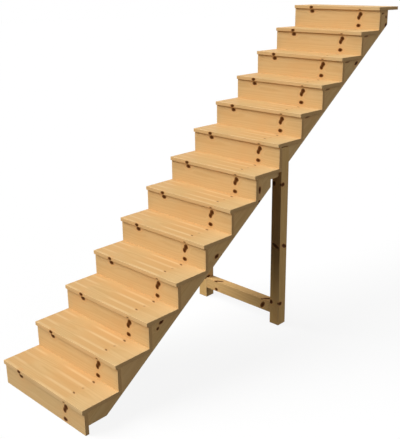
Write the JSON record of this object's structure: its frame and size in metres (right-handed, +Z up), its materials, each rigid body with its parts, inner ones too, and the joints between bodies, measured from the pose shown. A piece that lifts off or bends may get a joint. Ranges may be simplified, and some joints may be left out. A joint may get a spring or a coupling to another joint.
{
  "type": "wooden outdoor staircase",
  "caption": "Straight wooden outdoor stair with closed risers on sawtooth stringers, held up near its middle by posts tied with a low rail.",
  "frame": {"origin": "on the ground, midway across the stair, at the front face of the first riser", "axes": "+Z up, +Y the way one climbs, +X to the right of someone climbing"},
  "size_m": [0.9, 3.578, 2.489],
  "materials": {
    "tread_wood": "satin",
    "riser_wood": "satin",
    "stringer_wood": "satin",
    "post_wood": "satin",
    "rail_wood": "satin"
  },
  "bodies": {
    "root": {"tread_01": "tread_wood", "tread_02": "tread_wood", "tread_03": "tread_wood", "tread_04": "tread_wood", "tread_05": "tread_wood", "tread_06": "tread_wood", "tread_07": "tread_wood", "tread_08": "tread_wood", "tread_09": "tread_wood", "tread_10": "tread_wood", "tread_11": "tread_wood", "tread_12": "tread_wood", "tread_13": "tread_wood", "riser_01": "riser_wood", "riser_02": "riser_wood", "riser_03": "riser_wood", "riser_04": "riser_wood", "riser_05": "riser_wood", "riser_06": "riser_wood", "riser_07": "riser_wood", "riser_08": "riser_wood", "riser_09": "riser_wood", "riser_10": "riser_wood", "riser_11": "riser_wood", "riser_12": "riser_wood", "riser_13": "riser_wood", "stringer_left": "stringer_wood", "stringer_right": "stringer_wood", "post_left": "post_wood", "post_right": "post_wood", "cross_rail": "rail_wood"}
  },
  "joints": []
}
